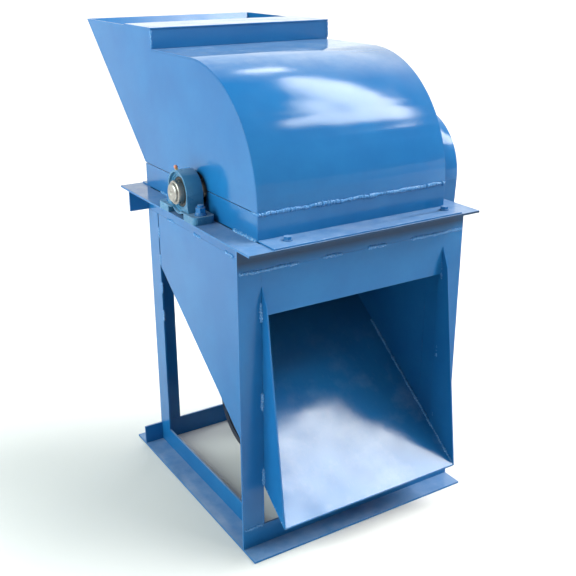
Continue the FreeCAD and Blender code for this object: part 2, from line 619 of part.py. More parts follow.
def make_drive():
    save("rotor_pulley", pulley(ROTOR_PITCH_R, SHAFT_R, 52.0, 0.0, AXIS_Z))
    save("motor_pulley", pulley(MOTOR_PITCH_R, MOTOR_SHAFT_R, 40.0, MOTOR_Y, MOTOR_Z))
    belts = [belt(PULLEY_X + step * GROOVE_PITCH) for step in (-1, 0, 1)]
    save("v_belts", Part.Compound([b.Solids[0] for b in belts]))

    inner_x = GUARD_BACK_X + GUARD_SHEET
    depth = GUARD_FRONT_X - inner_x
    rim = guard_face(inner_x, 0).cut(guard_face(inner_x, GUARD_SHEET)).extrude(Vector(depth, 0, 0))
    front = guard_face(GUARD_FRONT_X - GUARD_SHEET, 1).extrude(Vector(GUARD_SHEET, 0, 0))
    cover = fused(rim, front)
    slot_half, slot_r = 60.0, 6.0
    for step in range(9):
        z = 420.0 + step * 36.0
        slot = fused(box(GUARD_FRONT_X - 10, GUARD_FRONT_X + 1, -slot_half, slot_half,
                         z - slot_r, z + slot_r),
                     rod_x(slot_r, GUARD_FRONT_X - 10, GUARD_FRONT_X + 1, -slot_half, z),
                     rod_x(slot_r, GUARD_FRONT_X - 10, GUARD_FRONT_X + 1, slot_half, z))
        cover = cover.cut(slot)
    save("belt_guard_cover", cover)

    back = guard_face(GUARD_BACK_X, 0).extrude(Vector(GUARD_SHEET, 0, 0))
    back = back.cut(rod_x(40, GUARD_BACK_X - 1, inner_x + 1))
    back = back.cut(rod_x(34, GUARD_BACK_X - 1, inner_x + 1, MOTOR_Y, MOTOR_Z))
    leg_x = GUARD_BACK_X - PLATE
    brackets = []
    for y in GUARD_BRACKET_Y:
        brackets.append(box(leg_x - 40, GUARD_BACK_X, y - 20, y + 20, TOP_Z, TOP_Z + PLATE))
        brackets.append(box(leg_x, GUARD_BACK_X, y - 20, y + 20, TOP_Z - 60, TOP_Z + PLATE))
    low = ANGLE_T
    brackets.append(box(leg_x - 50, GUARD_BACK_X, MOTOR_Y - 40, MOTOR_Y + 40, low, low + PLATE))
    brackets.append(box(leg_x, GUARD_BACK_X, MOTOR_Y - 40, MOTOR_Y + 40, low, MOTOR_Z - 60))
    save("belt_guard_back", fused(back, *brackets))


# ---- Motor ------------------------------------------------------------------------------------
def make_motor():
    y, z = MOTOR_Y, MOTOR_Z
    core_start, core_end = COWL_OPEN + 6, MOTOR_SHOULDER - 38
    core = turned([(COWL_OPEN - 14, 0), (COWL_OPEN - 14, 118), (core_start, 118), (core_start, MOTOR_CORE_R),
                   (core_end, MOTOR_CORE_R), (core_end, 146), (core_end + 14, 146), (core_end + 26, 70),
                   (MOTOR_SHOULDER - 2, 60), (MOTOR_SHOULDER - 2, 0)], y, z)
    fins = []
    for number in range(MOTOR_FIN_COUNT):
        fin = box(core_start + 4, core_end, y - 2, y + 2, z + MOTOR_CORE_R - 6, z + MOTOR_FIN_R)
        fin.rotate(Vector(0, y, z), Vector(1, 0, 0), number * 360.0 / MOTOR_FIN_COUNT)
        fins.append(fin)
    feet = []
    foot_x0, foot_x1 = MOTOR_FOOT_X[0] - 24, MOTOR_FOOT_X[1] + 24
    for side in (-1, 1):
        centre = y + side * MOTOR_FOOT_HALF
        feet.append(box(foot_x0, foot_x1, centre - 32, centre + 32, MOTOR_RAIL_H, MOTOR_RAIL_H + 16))
        slope = [(centre - 20 * side, MOTOR_RAIL_H + 10), (centre + 2 * side, MOTOR_RAIL_H + 10),
                 (y + side * 112, z - 70), (y + side * 70, z - 90)]
        for x in MOTOR_FOOT_X:
            feet.append(plate_yz(slope, x - 22, x + 22))
    box_y = y + 128
    terminal = box(120, 236, box_y, box_y + 84, z - 20, z + 86)
    lid = box(114, 242, box_y + 84, box_y + 92, z - 26, z + 92)
    body = fused(core, *(fins + feet + [terminal, lid]))
    body = body.cut(rod_x(MOTOR_SHAFT_R + MOTOR_SHAFT_CLEARANCE, COWL_OPEN - 20, MOTOR_SHOULDER, y, z))
    for x in MOTOR_FOOT_X:
        for side in (-1, 1):
            body = body.cut(rod_z(7.5, x, y + side * (MOTOR_FOOT_HALF + 16), 0, MOTOR_RAIL_H + 20))
    save("motor_housing", body)

    wall_r = COWL_R - COWL_BEAD
    outline = [(COWL_END, 0), (COWL_END, wall_r - 14), (COWL_END + 14, wall_r)]
    for start in (COWL_END + 24, COWL_END + 46, COWL_END + 68):
        outline += [(start, wall_r), (start + 4, COWL_R), (start + 10, COWL_R), (start + 14, wall_r)]
    outline += [(COWL_OPEN, wall_r), (COWL_OPEN, wall_r - COWL_T), (COWL_END + 15, wall_r - COWL_T),
                (COWL_END + COWL_T, wall_r - 16), (COWL_END + COWL_T, 0)]
    cup = turned(outline, y, z)
    x0, x1 = COWL_END - 1, COWL_END + COWL_T + 1
    for step in range(8):
        r0 = 34.0 + step * 12.0
        slot = rod_x(r0 + 7.0, x0, x1, y, z).cut(rod_x(r0, x0 - 1, x1 + 1, y, z))
        spokes = [box(x0 - 1, x1 + 1, y - 4, y + 4, z - COWL_R, z + COWL_R),
                  box(x0 - 1, x1 + 1, y - COWL_R, y + COWL_R, z - 4, z + 4)]
        cup = cup.cut(slot.cut(Part.Compound(spokes)))
    save("motor_fan_cowl", cup)

    chamfer = 2.0
    fan_end = COWL_END + 22
    shaft = turned([(fan_end, 0), (fan_end, MOTOR_SHAFT_R - chamfer), (fan_end + chamfer, MOTOR_SHAFT_R),
                    (MOTOR_SHAFT_END - chamfer, MOTOR_SHAFT_R),
                    (MOTOR_SHAFT_END, MOTOR_SHAFT_R - chamfer), (MOTOR_SHAFT_END, 0)], y, z)
    save("motor_shaft", shaft)

    fan_x0, fan_x1 = fan_end + 4, fan_end + 50
    hub = rod_x(36, fan_x0, fan_x1, y, z)
    web = rod_x(100, fan_x1 - 5, fan_x1, y, z)
    blades = []
    for number in range(8):
        blade = box(fan_x0 + 6, fan_x1 - 5, y - 2, y + 2, z + 34, z + 122)
        blade.rotate(Vector(0, y, z), Vector(1, 0, 0), number * 45.0)
        blades.append(blade)
    fan = fused(hub, web, *blades).cut(rod_x(MOTOR_SHAFT_R, fan_x0 - 1, fan_x1 + 1, y, z))
    save("motor_fan", fan)

    rails, bolts = [], []
    for x in MOTOR_FOOT_X:
        left, right = x - CHANNEL_HALF, x + CHANNEL_HALF
        outline = [(left, 0), (right, 0), (right, CHANNEL_T), (left + CHANNEL_T, CHANNEL_T),
                   (left + CHANNEL_T, MOTOR_RAIL_H - CHANNEL_T), (right, MOTOR_RAIL_H - CHANNEL_T),
                   (right, MOTOR_RAIL_H), (left, MOTOR_RAIL_H)]
        rail = plate_xz(outline, -HEEL_Y, HEEL_Y)
        for side in (-1, 1):
            hole_y = y + side * (MOTOR_FOOT_HALF + 16)
            rail = rail.cut(rod_z(7.5, x, hole_y, MOTOR_RAIL_H - 10, MOTOR_RAIL_H + 1))
            top = MOTOR_RAIL_H + 16
            under = MOTOR_RAIL_H - CHANNEL_T
            bolts.append(fused(rod_z(6, x, hole_y, under - 18, top), rod_z(12, x, hole_y, top, top + 2.5),
                               hexagon_z(18, x, hole_y, top + 2.5, top + 10),
                               hexagon_z(18, x, hole_y, under - 10, under)))
        rails.append(rail)
    save("motor_rails", Part.Compound(rails))
    save("motor_bolts", Part.Compound(bolts))


make_rails()
make_legs()
make_body()
make_grate()
make_casing()
make_hood()
make_bearings()
make_rotor()
make_drive()
make_motor()
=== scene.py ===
"""Looks of the hammer mill: blue enamel, weld beads, bearing details, light, floor and camera.

Metres, in the CAD frame: +X runs along the rotor shaft to the pulleys, -Y is the chute side, +Z is up.
"""

import json
import math

import bmesh
import bpy
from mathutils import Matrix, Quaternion, Vector, noise


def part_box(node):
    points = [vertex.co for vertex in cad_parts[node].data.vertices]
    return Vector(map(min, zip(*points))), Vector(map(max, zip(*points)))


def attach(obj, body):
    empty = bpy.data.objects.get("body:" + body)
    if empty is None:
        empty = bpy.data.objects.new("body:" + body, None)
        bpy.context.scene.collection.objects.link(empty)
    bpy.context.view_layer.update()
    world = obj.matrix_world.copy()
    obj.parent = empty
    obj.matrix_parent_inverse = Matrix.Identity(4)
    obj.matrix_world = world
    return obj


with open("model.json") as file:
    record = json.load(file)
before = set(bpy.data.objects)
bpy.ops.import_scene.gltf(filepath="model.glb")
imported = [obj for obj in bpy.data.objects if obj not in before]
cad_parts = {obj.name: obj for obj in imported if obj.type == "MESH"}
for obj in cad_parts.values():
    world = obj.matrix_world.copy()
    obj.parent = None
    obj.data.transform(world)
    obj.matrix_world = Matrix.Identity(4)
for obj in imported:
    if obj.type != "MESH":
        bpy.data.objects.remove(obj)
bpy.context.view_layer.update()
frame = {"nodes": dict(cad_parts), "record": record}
nodes = frame["nodes"]
bodies = frame["record"]["behaviour"]["bodies"]
scene = bpy.context.scene


# ---- Camera -----------------------------------------------------------------------------------
CAMERA_PLACE = Vector((-1.2709, -2.0258, 1.4933))
CAMERA_AZIMUTH = -31.91
CAMERA_ELEVATION = 20.98
CAMERA_ROLL = -0.14
CAMERA_LENS = 54.71


def make_camera():
    camera = bpy.data.objects.new("camera", bpy.data.cameras.new("camera"))
    scene.collection.objects.link(camera)
    azimuth, elevation = math.radians(CAMERA_AZIMUTH), math.radians(CAMERA_ELEVATION)
    back = Vector((math.sin(azimuth) * math.cos(elevation),
                   -math.cos(azimuth) * math.cos(elevation),
                   math.sin(elevation)))
    camera.rotation_mode = "QUATERNION"
    turn = (-back).to_track_quat("-Z", "Y")
    roll = Quaternion((0, 0, 1), math.radians(CAMERA_ROLL))
    camera.rotation_quaternion = turn @ roll
    camera.location = CAMERA_PLACE
    camera.data.lens = CAMERA_LENS
    camera.data.sensor_width = 36.0
    camera.data.clip_end = 300.0
    scene.camera = camera


make_camera()


# ---- Materials --------------------------------------------------------------------------------
class Nodes:
    """A node tree under construction."""

    def __init__(self, tree):
        self.tree = tree

    def node(self, kind, **settings):
        """A new node. Each setting is one of its properties or the value of one of its inputs."""
        made = self.tree.nodes.new(kind)
        for key, value in settings.items():
            if hasattr(made, key):
                setattr(made, key, value)
            else:
                made.inputs[key].default_value = value
        return made

    def link(self, source, target):
        self.tree.links.new(source, target)

    def math(self, operation, a, b):
        made = self.node("ShaderNodeMath", operation=operation)
        for socket, value in zip(made.inputs, (a, b)):
            if isinstance(value, (int, float)):
                socket.default_value = value
            else:
                self.link(value, socket)
        return made.outputs["Value"]

    def ramp(self, value, low, high, to_low=0.0, to_high=1.0, curve="LINEAR"):
        made = self.node("ShaderNodeMapRange", interpolation_type=curve)
        for name, number in (("From Min", low), ("From Max", high),
                             ("To Min", to_low), ("To Max", to_high)):
            made.inputs[name].default_value = number
        self.link(value, made.inputs["Value"])
        return made.outputs["Result"]


class Shader(Nodes):
    """A node material under construction, with the object's own coordinates at hand."""

    def __init__(self, name):
        self.material = bpy.data.materials.new(name)
        self.material.use_nodes = True
        super().__init__(self.material.node_tree)
        self.surface = self.tree.nodes["Principled BSDF"]
        self.place = self.node("ShaderNodeTexCoord").outputs["Object"]

    def set(self, **values):
        for key, value in values.items():
            self.surface.inputs[key.replace("_", " ")].default_value = value

    def stretched(self, scale):
        mapping = self.node("ShaderNodeMapping", Scale=scale)
        self.link(self.place, mapping.inputs["Vector"])
        return mapping.outputs["Vector"]

    def noise(self, scale, detail=4.0, roughness=0.55, stretch=None):
        made = self.node("ShaderNodeTexNoise", Scale=scale, Detail=detail, Roughness=roughness)
        self.link(self.stretched(stretch) if stretch else self.place, made.inputs["Vector"])
        return made.outputs["Fac"]

    def mix(self, factor, a, b):
        made = self.node("ShaderNodeMix", data_type="RGBA")
        self.link(factor, made.inputs["Factor"])
        for socket, value in ((made.inputs[6], a), (made.inputs[7], b)):
            if isinstance(value, tuple):
                socket.default_value = (*value, 1.0)
            else:
                self.link(value, socket)
        return made.outputs[2]

    def edges(self, radius):
        """0 on flat faces, rising towards 1 along sharp edges."""
        bevel = self.node("ShaderNodeBevel", samples=6, Radius=radius)
        geometry = self.node("ShaderNodeNewGeometry")
        dot = self.node("ShaderNodeVectorMath", operation="DOT_PRODUCT")
        self.link(bevel.outputs["Normal"], dot.inputs[0])
        self.link(geometry.outputs["Normal"], dot.inputs[1])
        return self.ramp(dot.outputs["Value"], 0.995, 0.80)

    def bump(self, heights):
        """Chain (height, distance in metres, strength) bumps."""
        normal = None
        for height, distance, strength in heights:
            made = self.node("ShaderNodeBump", Distance=distance, Strength=strength)
            self.link(height, made.inputs["Height"])
            if normal:
                self.link(normal, made.inputs["Normal"])
            normal = made.outputs["Normal"]
        self.link(normal, self.surface.inputs["Normal"])


PRIMER_DARK, PRIMER_LIGHT = (0.16, 0.12, 0.09), (0.30, 0.27, 0.24)
PAINT_DUST = (0.58, 0.62, 0.66)
# Colour of the painted shade under the top flange.
FLANGE_SHADE_COLOUR = (0.006, 0.030, 0.075)
# Whitish colour of meal dust, used also as painted reflection on the chute floor.
MEAL_DUST_AND_REFLECTION = (0.42, 0.52, 0.62)
SCRATCH = (0.30, 0.40, 0.52)
# Colour of the painted shade high up in the chute.
CHUTE_SHADE_COLOUR = (0.008, 0.040, 0.110)
RUST = (0.20, 0.085, 0.035)
WORKSHOP_DUST = (0.33, 0.31, 0.28)


def enamel(name, colour, dark, wear=0.5, waves=1.0, grain=0.0, gloss=0.15, dust=0.24,
           flange_shade_band=None):
    """Glossy paint over steel: mottled colour, orange peel, sheet waves and rubbed edges.

    wear is how far the edges are rubbed, waves the unevenness of the sheet, grain the roughness of
    a casting and dust what lies on upward faces. flange_shade_band gives two heights: front faces get
    painted shade under the top flange, full at the upper height and fading out down to the lower one.
    """
    s = Shader(name)
    mottled = s.mix(s.ramp(s.noise(5.0, 5.0), 0.35, 0.65), colour, dark)
    fine = s.noise(70.0, 3.0)
    mottled = s.mix(s.ramp(fine, 0.45, 0.75, 0.0, 0.25), mottled, dark)
    rubbed = s.math("MULTIPLY", s.edges(0.0025), s.ramp(s.noise(45.0, 6.0, 0.7), 0.50, 0.62))
    height = s.node("ShaderNodeSeparateXYZ")
    s.link(s.place, height.inputs["Vector"])
    low = s.ramp(height.outputs["Z"], 0.02, 0.0, 0.25, 1.0)
    rubbed = s.math("MULTIPLY", rubbed, s.math("MULTIPLY", low, wear))
    primer = s.mix(s.noise(120.0, 4.0), PRIMER_DARK, PRIMER_LIGHT)
    facing = s.node("ShaderNodeSeparateXYZ")
    s.link(s.node("ShaderNodeNewGeometry").outputs["Normal"], facing.inputs["Vector"])
    upward = s.ramp(facing.outputs["Z"], 0.80, 1.0, 0.0, dust)
    settled = s.math("MULTIPLY", upward, s.ramp(s.noise(22.0, 6.0, 0.6), 0.30, 0.70, 0.5, 1.0))
    # Painted shade: front faces darken towards the top flange above them, as in its shadow.
    if flange_shade_band:
        under = s.ramp(height.outputs["Z"], flange_shade_band[0], flange_shade_band[1], 0.0, 0.92)
        front = s.ramp(facing.outputs["Y"], -0.5, -0.9)
        mottled = s.mix(s.math("MULTIPLY", under, front), mottled, FLANGE_SHADE_COLOUR)
    painted = s.mix(settled, s.mix(rubbed, mottled, primer), PAINT_DUST)
    s.link(painted, s.surface.inputs["Base Color"])
    roughness = s.ramp(s.noise(14.0, 5.0), 0.3, 0.7, gloss * 0.8, gloss * 1.5)
    s.link(roughness, s.surface.inputs["Roughness"])
    bumps = [(s.noise(3.2, 2.0), 0.010 * waves, 0.35), (s.noise(260.0, 2.0), 0.0006, 0.18)]
    if grain:
        bumps.append((s.noise(420.0, 5.0, 0.7), 0.0012, grain))
    s.bump(bumps)
    s.set(IOR=1.37)
    return s.material


def chute_enamel(name, colour, dark):
    """Chute floor paint: polished by sliding meal, with long scratches, whitish patches near the lip
    that are meal dust and painted reflection, and painted shade towards its upper end.
    """
    s = Shader(name)
    mottled = s.mix(s.ramp(s.noise(6.0, 5.0), 0.35, 0.65), colour, dark)
    # Whitish patches near the lip: meal dust and painted reflection of a cloudy sky.
    dust_and_reflection = s.ramp(s.noise(7.0, 7.0, 0.62), 0.50, 0.72, 0.0, 0.16)
    height = s.node("ShaderNodeSeparateXYZ")
    s.link(s.place, height.inputs["Vector"])
    near_lip = s.ramp(height.outputs["Z"], 0.52, 0.20)
    dusty = s.mix(s.math("MULTIPLY", dust_and_reflection, near_lip), mottled, MEAL_DUST_AND_REFLECTION)
    scratches = s.ramp(s.noise(40.0, 3.0, 0.5, (14.0, 1.0, 1.0)), 0.64, 0.72, 0.0, 0.10)
    scratched = s.mix(scratches, dusty, SCRATCH)
    # Painted shade: the floor darkens towards its upper end, where it runs into the shaded body.
    shaded_high = s.ramp(height.outputs["Z"], 0.36, 0.56, 0.0, 0.8)
    s.link(s.mix(shaded_high, scratched, CHUTE_SHADE_COLOUR), s.surface.inputs["Base Color"])
    roughness = s.ramp(s.noise(11.0, 6.0, 0.6), 0.3, 0.7, 0.07, 0.22)
    s.link(roughness, s.surface.inputs["Roughness"])
    s.bump([(s.noise(3.6, 2.0), 0.012, 0.4), (s.noise(260.0, 2.0), 0.0006, 0.18)])
    s.set(IOR=1.45)
    return s.material


def spatter_enamel(name, colour, glint_colour):
    """Paint over rough weld metal, with fine light spots painted in as glints."""
    s = Shader(name)
    # Painted glints: fine light spots standing in for the sparkle of light on rough weld metal.
    spots = s.ramp(s.noise(420.0, 5.0, 0.7), 0.52, 0.64)
    s.link(s.mix(spots, colour, glint_colour), s.surface.inputs["Base Color"])
    s.link(s.ramp(s.noise(300.0, 3.0), 0.3, 0.7, 0.12, 0.35), s.surface.inputs["Roughness"])
    s.bump([(s.noise(700.0, 5.0, 0.7), 0.0010, 0.6)])
    s.set(IOR=1.5)
    return s.material


def bare_steel(name, light, dark, rough=(0.22, 0.42), rust=0.0, stretch=(1, 1, 1)):
    """Steel with a directional grain, stains and optional rust."""
    s = Shader(name)
    grain = s.noise(60.0, 6.0, 0.65, stretch)
    colour = s.mix(s.ramp(grain, 0.3, 0.7), dark, light)
    stain = s.ramp(s.noise(16.0, 6.0, 0.65), 0.52, 0.70, 0.0, rust)
    colour = s.mix(stain, colour, RUST)
    s.link(colour, s.surface.inputs["Base Color"])
    s.link(s.ramp(grain, 0.3, 0.7, rough[0], rough[1]), s.surface.inputs["Roughness"])
    metallic = s.math("SUBTRACT", 1.0, s.math("MULTIPLY", stain, 0.8))
    s.link(metallic, s.surface.inputs["Metallic"])
    s.bump([(grain, 0.0004, 0.3), (s.noise(300.0, 3.0), 0.0003, 0.25)])
    return s.material


def moulded(name, light, dark, rough=0.5, scale=120.0, bump=0.3, dust=0.0):
    """Rubber, plastic and satin paint: mottled colour, fine grain and a little dust."""
    s = Shader(name)
    colour = s.mix(s.ramp(s.noise(scale * 0.2, 5.0), 0.35, 0.65), dark, light)
    dusty = s.ramp(s.noise(9.0, 6.0, 0.7), 0.48, 0.75, 0.0, dust)
    colour = s.mix(dusty, colour, WORKSHOP_DUST)
    s.link(colour, s.surface.inputs["Base Color"])
    roughness = s.ramp(s.noise(30.0, 4.0), 0.3, 0.7, rough * 0.85, rough * 1.2)
    s.link(roughness, s.surface.inputs["Roughness"])
    s.bump([(s.noise(scale * 3, 4.0), 0.0005, bump)])
    return s.material


BLUE = (0.012, 0.138, 0.360)
BLUE_DARK = (0.009, 0.112, 0.315)

looks = {
    "blue_enamel": enamel("blue_enamel", BLUE, BLUE_DARK, wear=0.9),
    "hood_enamel": enamel("hood_enamel", BLUE, BLUE_DARK, wear=0.25, waves=1.3, gloss=0.13),
    "bearing_iron": enamel("bearing_iron", (0.040, 0.180, 0.330), (0.028, 0.130, 0.26),
                           wear=0.8, waves=0.1, grain=0.5, gloss=0.26),
    # The top front rail carries painted shade on its web under the flange.
    "rail_enamel": enamel("rail_enamel", BLUE, BLUE_DARK, wear=0.9, flange_shade_band=(0.784, 0.811)),
    "weld_enamel": spatter_enamel("weld_enamel", (0.022, 0.17, 0.43), (0.22, 0.42, 0.66)),
    "chute_enamel": chute_enamel("chute_enamel", BLUE, BLUE_DARK),
    "grate_steel": bare_steel("grate_steel", (0.40, 0.39, 0.37), (0.22, 0.21, 0.20), rust=0.7),
    "zinc_steel": bare_steel("zinc_steel", (0.60, 0.59, 0.55), (0.42, 0.41, 0.38), rust=0.2),
    "turned_steel": bare_steel("turned_steel", (0.48, 0.46, 0.43), (0.27, 0.26, 0.245),
                               (0.28, 0.48), rust=0.12, stretch=(14, 1, 1)),
    "forged_steel": bare_steel("forged_steel", (0.20, 0.19, 0.18), (0.09, 0.085, 0.08),
                               (0.4, 0.65), rust=0.8),
    "pulley_iron": bare_steel("pulley_iron", (0.30, 0.30, 0.31), (0.17, 0.17, 0.18),
                              (0.35, 0.55), rust=0.3, stretch=(10, 1, 1)),
    "belt_rubber": moulded("belt_rubber", (0.030, 0.030, 0.032), (0.015, 0.015, 0.016),
                           0.65, 200.0, 0.6, 0.15),
    "motor_paint": moulded("motor_paint", (0.045, 0.065, 0.105), (0.025, 0.038, 0.065),
                           0.38, 150.0, 0.3, 0.25),
    "cowl_paint": moulded("cowl_paint", (0.018, 0.026, 0.050), (0.010, 0.015, 0.030),
                          0.30, 150.0, 0.25, 0.12),
    "fan_plastic": moulded("fan_plastic", (0.040, 0.040, 0.045), (0.022, 0.022, 0.025),
                           0.45, 180.0, 0.3, 0.2),
    "seal_rubber": moulded("seal_rubber", (0.028, 0.027, 0.027), (0.012, 0.012, 0.012),
                           0.40, 160.0, 0.3, 0.02),
    "cap_plastic": moulded("cap_plastic", (0.66, 0.24, 0.13), (0.52, 0.17, 0.09),
                           0.35, 90.0, 0.1, 0.0),
    "brass": bare_steel("brass", (0.58, 0.42, 0.16), (0.40, 0.28, 0.10)),
}

# Nodes left without a bevel: fine parallel ribs and bars, and plates seen only face on.
CRISP = {"grate_bars", "motor_fan_cowl", "v_belts", "motor_housing", "motor_fan",
         "body_side_left", "body_side_right", "body_front_panel"}
# Nodes that differ from the look of their record slot.
OWN_LOOK = {"hood_bolts": "blue_enamel", "bearing_bolts": "blue_enamel",
            "top_front_rail": "rail_enamel", "chute_floor": "chute_enamel"}
ROLLED = ("base_", "top_", "leg_")
ROLLED_EDGE = 0.0006
CUT_EDGE = 0.0009
EDGE_ANGLE = 35              # degrees between two faces, from which their edge is broken
MERGE_DISTANCE = 0.00001


def dress_cad():
    """Give every CAD node its material, smooth round faces and slightly broken edges."""
    slots = {part["node"]: part["material_slot"] for part in frame["record"]["subparts"]}
    for name, node in nodes.items():
        usual = "hood_enamel" if name in bodies["hood"] else slots[name]
        node.data.materials.clear()
        node.data.materials.append(looks[OWN_LOOK.get(name, usual)])
        if name in CRISP:
            continue
        weld = node.modifiers.new("weld", "WELD")
        weld.merge_threshold = MERGE_DISTANCE
        bevel = node.modifiers.new("bevel", "BEVEL")
        bevel.width = ROLLED_EDGE if name.startswith(ROLLED) else CUT_EDGE
        bevel.segments = 2
        bevel.limit_method = "ANGLE"
        bevel.angle_limit = math.radians(EDGE_ANGLE)
        bevel.harden_normals = True


dress_cad()


# ---- Extra pieces -----------------------------------------------------------------------------
LEFT, RIGHT = (-1, 0, 0), (1, 0, 0)
FRONT, REAR = (0, -1, 0), (0, 1, 0)
DOWN, UP = (0, 0, -1), (0, 0, 1)


def add_piece(name, mesh, body, slot, look=None):
    piece = bpy.data.objects.new(name, mesh)
    scene.collection.objects.link(piece)
    mesh.materials.append(looks[look or slot])
    for polygon in mesh.polygons:
        polygon.use_smooth = True
    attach(piece, body)


def join_rings(work, rings):
    """Faces from each ring of vertices to the next."""
    for ring, following in zip(rings, rings[1:]):
        sides = len(ring)
        for j in range(sides):
            k = (j + 1) % sides
            work.faces.new((ring[j], ring[k], following[k], following[j]))


def close_ends(work, rings):
    work.faces.new(rings[0][::-1])
    work.faces.new(rings[-1])


def mesh_of(work, name):
    """The finished mesh, with its faces turned outward."""
    bmesh.ops.recalc_face_normals(work, faces=work.faces)
    mesh = bpy.data.meshes.new(name)
    work.to_mesh(mesh)
    work.free()
    return mesh


# ---- Weld beads -------------------------------------------------------------------------------
CHUTE_LIP_Z = 0.112          # upper face of the chute floor at its lip
CHUTE_SLOPE = 0.754          # rise over run
CHEEK_THICKNESS = 0.004
BEAD_SIDES = 8
TOP_STITCH_Y = (-0.20, -0.02, 0.15)
REAR_STITCH_Z = (0.745, 0.66, 0.57, 0.48)
PANEL_STITCH_X = (-0.24, -0.11, 0.03, 0.17)
CHEEK_TAB_Z = (0.676, 0.433, 0.213)
TOP_STITCH, REAR_STITCH, PANEL_STITCH, CHEEK_TAB = 0.045, 0.035, 0.06, 0.052   # lengths


def bead(work, points, width, rise, up, seed):
    """Add one weld bead: a lumpy half-sunk run of overlapping scales along points."""
    points = [Vector(p) for p in points]
    up = Vector(up).normalized()
    lengths = [(end - start).length for start, end in zip(points, points[1:])]
    total = sum(lengths)
    count = max(8, int(total / (width * 0.16)))
    rings = []
    for i in range(count + 1):
        along = total * i / count
        walk, k = along, 0
        while k < len(lengths) - 1 and walk > lengths[k]:
            walk -= lengths[k]
            k += 1
        run = (points[k + 1] - points[k]).normalized()
        across = run.cross(up).normalized()
        centre = points[k] + run * walk
        scale = (along / (width * 0.75)) % 1.0
        lump = 0.78 + 0.22 * math.sin(math.pi * scale)
        lump += 0.45 * noise.noise(Vector((along * 90, seed * 7.1, 0.3)))
        lump += 0.55 * noise.noise(Vector((along * 290, seed * 3.3, 4.1)))
        lump = max(lump, 0.12)
        taper = min(1.0, 3.5 * min(i, count - i) / count * total / width + 0.25)
        drift = across * width * 0.20 * noise.noise(Vector((along * 45, 3.7, seed * 5.3)))
        ring = []
        for j in range(BEAD_SIDES):
            angle = 2 * math.pi * j / BEAD_SIDES
            pit = 1.0 + 0.35 * noise.noise(Vector((along * 420, j * 1.7, seed)))
            side_step = across * math.cos(angle) * width / 2 * lump * pit
            rise_step = up * math.sin(angle) * rise * lump * pit * taper
            ring.append(work.verts.new(centre + drift + side_step + rise_step))
        rings.append(ring)
    join_rings(work, rings)
    close_ends(work, rings)


def bead_piece(name, body, runs):
    """One mesh of several beads. A run is (points, width, rise, up)."""
    work = bmesh.new()
    for number, (points, width, rise, up) in enumerate(runs):
        bead(work, points, width, rise, up, number + len(name))
    add_piece(name, mesh_of(work, name), body, "blue_enamel", "weld_enamel")


def side_mirror(runs):
    """The runs and their mirror images in the YZ plane."""
    def flip(v):
        return (-v[0], v[1], v[2])
    return runs + [([flip(p) for p in points], width, rise, flip(up))
                   for points, width, rise, up in runs]


def make_hood_welds():
    wrap_low, wrap_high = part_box("hood_wrap")
    front, seam = wrap_low.y, wrap_low.z
    seam_runs = [([(wrap_low.x, front, seam), (wrap_high.x, front, seam)], 0.0105, 0.0042, FRONT)]
    for x, outward in ((wrap_low.x, LEFT), (wrap_high.x, RIGHT)):
        turn = [(x, front + 0.001, seam), (x, front + 0.030, seam)]
        seam_runs.append((turn, 0.006, 0.002, outward))
    bead_piece("weld_hood_front", "hood", seam_runs)

    wall_low, wall_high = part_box("hopper_front_wall")
    wall_face = wall_low.y + 0.002
    corners = []
    for x in (wrap_low.x, wrap_high.x):
        corner = [(x, wall_face, wrap_high.z + 0.004), (x, wall_face, wall_high.z - 0.006)]
        corners.append((corner, 0.0055, 0.0026, FRONT))
    bead_piece("weld_hopper_corners", "hood", corners)


def make_stand_welds():
    leg_low, leg_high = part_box("leg_front_left")
    leg_x, leg_front = leg_low.x, leg_low.y
    panel_low, panel_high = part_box("body_front_panel")
    heel_x = panel_high.x
    foot = [(leg_x + 0.004, leg_front, leg_low.z), (-heel_x - 0.004, leg_front, leg_low.z)]
    head = [(leg_x + 0.004, leg_front, leg_high.z), (-heel_x + 0.06, leg_front, leg_high.z)]
    bead_piece("weld_legs_front", "frame", side_mirror([(foot, 0.009, 0.003, (0, -1, 0.4)),
                                                        (head, 0.009, 0.0026, FRONT)]))

    side_low, side_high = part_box("body_side_left")
    side_x, top = side_low.x, side_high.z
    rear = side_high.y + 0.003
    edge_x = side_x + 0.001
    stitches = [([(side_x, y, top), (side_x, y + TOP_STITCH, top)], 0.008, 0.0025, LEFT)
                for y in TOP_STITCH_Y]
    stitches += [([(edge_x, rear, z), (edge_x, rear, z - REAR_STITCH)], 0.010, 0.003, LEFT)
                 for z in REAR_STITCH_Z]
    bead_piece("weld_side_stitches", "frame", side_mirror(stitches))

    y, z = panel_low.y, panel_high.z
    panel = [([(x, y, z), (x + PANEL_STITCH, y, z)], 0.009, 0.0026, FRONT) for x in PANEL_STITCH_X]
    bead_piece("weld_front_panel", "frame", panel)

    feet = []
    for side, node in ((-1, "casing_strip_left"), (1, "casing_strip_right")):
        strip_low, strip_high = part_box(node)
        x = strip_low.x if side < 0 else strip_high.x
        for y0, y1, width in ((strip_low.y, -0.185, 0.015), (0.19, 0.25, 0.010)):
            run = [(x, y0, strip_low.z), (x, y1, strip_low.z)]
            feet.append((run, width, width * 0.4, (side, 0, 0.8)))
    bead_piece("weld_strip_foot", "frame", feet)


